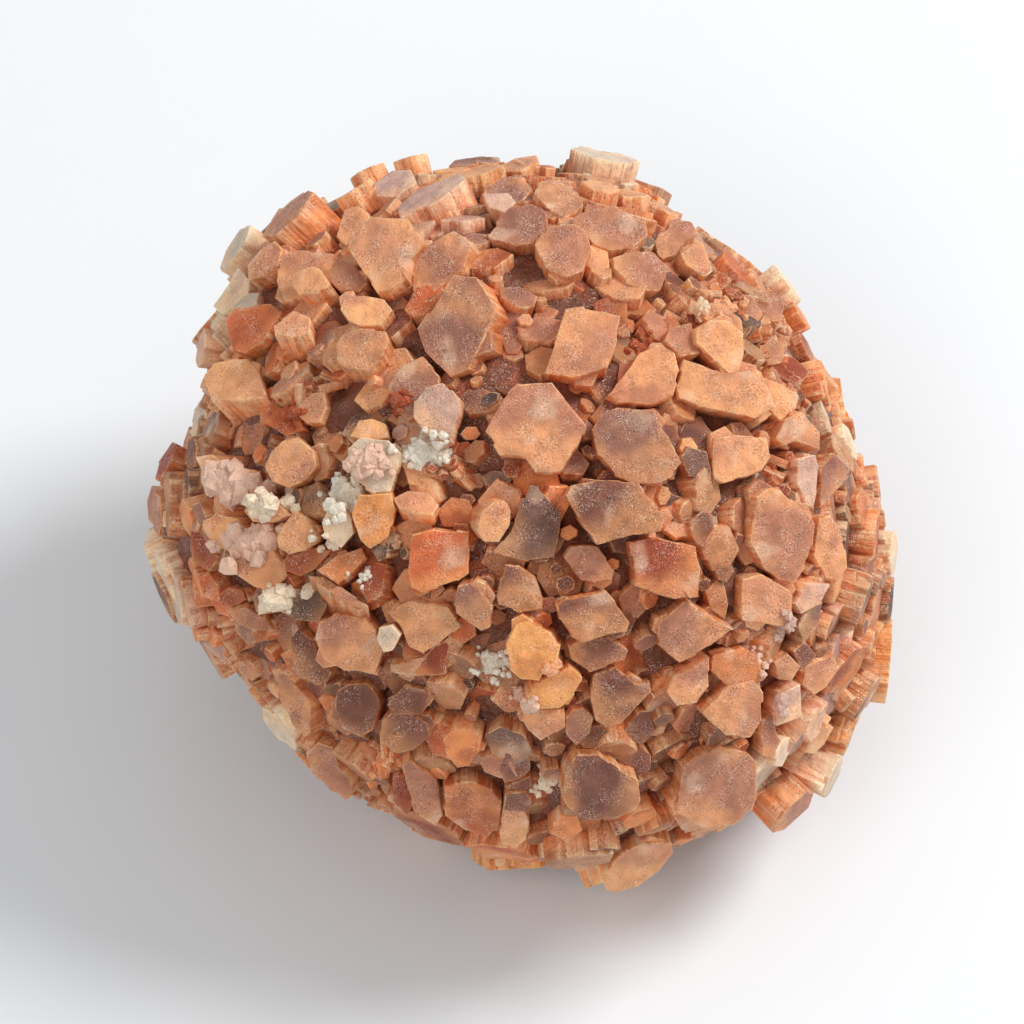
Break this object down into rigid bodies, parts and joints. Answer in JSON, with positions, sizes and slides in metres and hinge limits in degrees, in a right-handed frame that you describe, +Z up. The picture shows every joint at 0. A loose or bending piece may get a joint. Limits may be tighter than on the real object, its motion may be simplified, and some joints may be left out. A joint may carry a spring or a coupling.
{
  "type": "aragonite star cluster",
  "caption": "Radiating cluster of stubby six-sided aragonite crystals grown together, a mineral specimen that rests on worn crystal tips.",
  "frame": {"origin": "on the surface that it rests on, under the middle of the cluster's box", "axes": "+Z up, +X to the right and -Y towards a viewer who faces the side with the largest crystal ends"},
  "size_m": [0.0858, 0.0802, 0.0695],
  "materials": {
    "aragonite": "matte"
  },
  "bodies": {
    "root": {"aragonite_cluster": "aragonite"}
  },
  "joints": []
}
